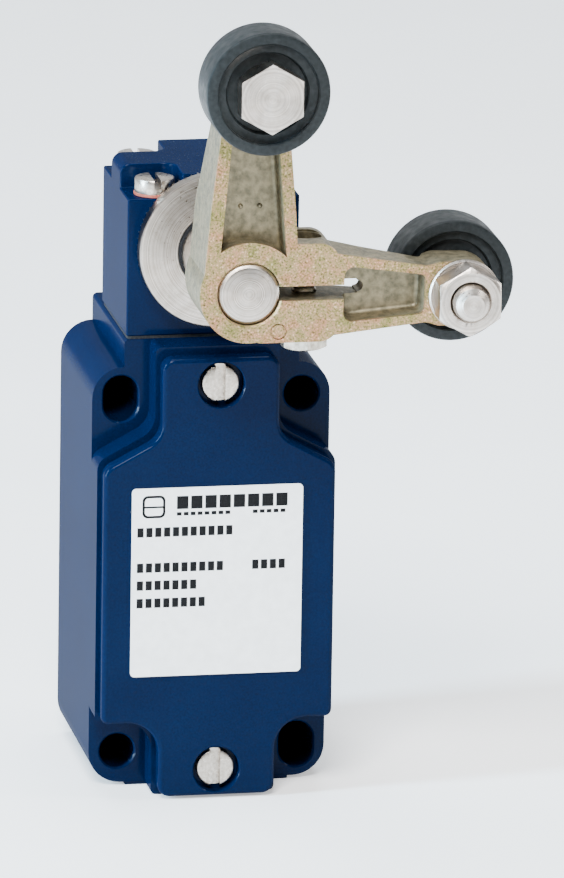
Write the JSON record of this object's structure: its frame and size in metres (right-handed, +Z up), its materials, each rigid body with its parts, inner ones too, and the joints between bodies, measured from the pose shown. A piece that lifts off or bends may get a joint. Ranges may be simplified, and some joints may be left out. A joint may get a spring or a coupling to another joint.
{
  "type": "limit switch",
  "caption": "Latching limit switch: an enamelled metal case with a turret head and a two-arm fork lever that carries a roller on the front and on the back.",
  "frame": {"origin": "centre of the 30 x 60 mm mounting hole pattern, on the rear mounting plane", "axes": "+X to the right seen from the front, +Y back into the machine, +Z up towards the head"},
  "size_m": [0.0648, 0.0771, 0.1363],
  "materials": {
    "blue_enamel": "semi-gloss navy enamel with a fine speckle",
    "black_rubber": "matt moulded rubber",
    "label_white": "printed film on a thin plate",
    "plated_screw": "bright zinc plating",
    "red_fibre": "vulcanised fibre",
    "turned_steel": "fine turning marks",
    "hexagon_steel": "cold formed and plated",
    "spring_steel": "drawn wire and strip",
    "brass": "machined",
    "copper_contact": "stamped",
    "black_insulator": "moulded thermoset",
    "chromated_zinc": "yellow chromated die casting",
    "roller_plastic": "satin moulded plastic"
  },
  "bodies": {
    "case": {"housing": "blue_enamel", "cover": "blue_enamel", "head_housing": "blue_enamel", "cover_gasket": "black_rubber", "head_gasket": "black_rubber", "shaft_seal": "black_rubber", "label_plate": "label_white", "cover_screw_upper": "plated_screw", "cover_screw_lower": "plated_screw", "head_screw_1": "plated_screw", "head_screw_2": "plated_screw", "head_screw_3": "plated_screw", "head_screw_4": "plated_screw", "terminal_screw_1": "plated_screw", "terminal_screw_2": "plated_screw", "terminal_screw_3": "plated_screw", "terminal_screw_4": "plated_screw", "block_screw_1": "plated_screw", "block_screw_2": "plated_screw", "earth_screw": "plated_screw", "head_screw_washer_1": "red_fibre", "head_screw_washer_2": "red_fibre", "head_screw_washer_3": "red_fibre", "head_screw_washer_4": "red_fibre", "bearing_flange": "turned_steel", "serrated_ring": "turned_steel", "return_spring": "spring_steel", "latch_spring": "spring_steel", "rear_bush": "brass", "plunger_guide": "brass", "earth_clamp": "brass", "terminal_1": "brass", "terminal_2": "brass", "terminal_3": "brass", "terminal_4": "brass", "contact_block": "black_insulator"},
    "lever": {"fork_lever": "chromated_zinc", "clamp_screw": "hexagon_steel", "shaft": "turned_steel", "shaft_sleeve": "turned_steel", "drive_cam": "turned_steel", "shaft_circlip": "turned_steel", "front_roller_bolt": "hexagon_steel", "front_roller_bush": "turned_steel", "front_roller_nut": "hexagon_steel", "rear_roller_bolt": "hexagon_steel", "rear_roller_bush": "turned_steel", "rear_roller_washer": "turned_steel", "rear_roller_nut": "hexagon_steel"},
    "front_wheel": {"front_roller": "roller_plastic"},
    "rear_wheel": {"rear_roller": "roller_plastic"},
    "plunger_set": {"plunger": "turned_steel", "contact_carrier": "black_insulator", "contact_bridge_nc": "copper_contact", "contact_bridge_no": "copper_contact"}
  },
  "joints": [
    {"name": "lever_turn", "type": "hinge", "parent": "case", "child": "lever", "pos_m": [0, -0.0572, 0.0553], "axis": [0, -1, 0], "range_deg": [0, 93], "deforming": ["latch_spring"]},
    {"name": "front_roller_spin", "type": "hinge", "parent": "lever", "child": "front_wheel", "pos_m": [0.00092, -0.0694, 0.09029], "axis": [0, -1, 0], "continuous": true},
    {"name": "rear_roller_spin", "type": "hinge", "parent": "lever", "child": "rear_wheel", "pos_m": [0.03499, -0.0515, 0.05438], "axis": [0, -1, 0], "continuous": true},
    {"name": "plunger_slide", "type": "slide", "parent": "case", "child": "plunger_set", "axis": [0, 0, -1], "range_m": [0, 0.0025], "deforming": ["return_spring"]}
  ],
  "couplings": [
    {"joint": "plunger_slide", "follows": "lever_turn", "m_per_rad": 0.00154}
  ]
}
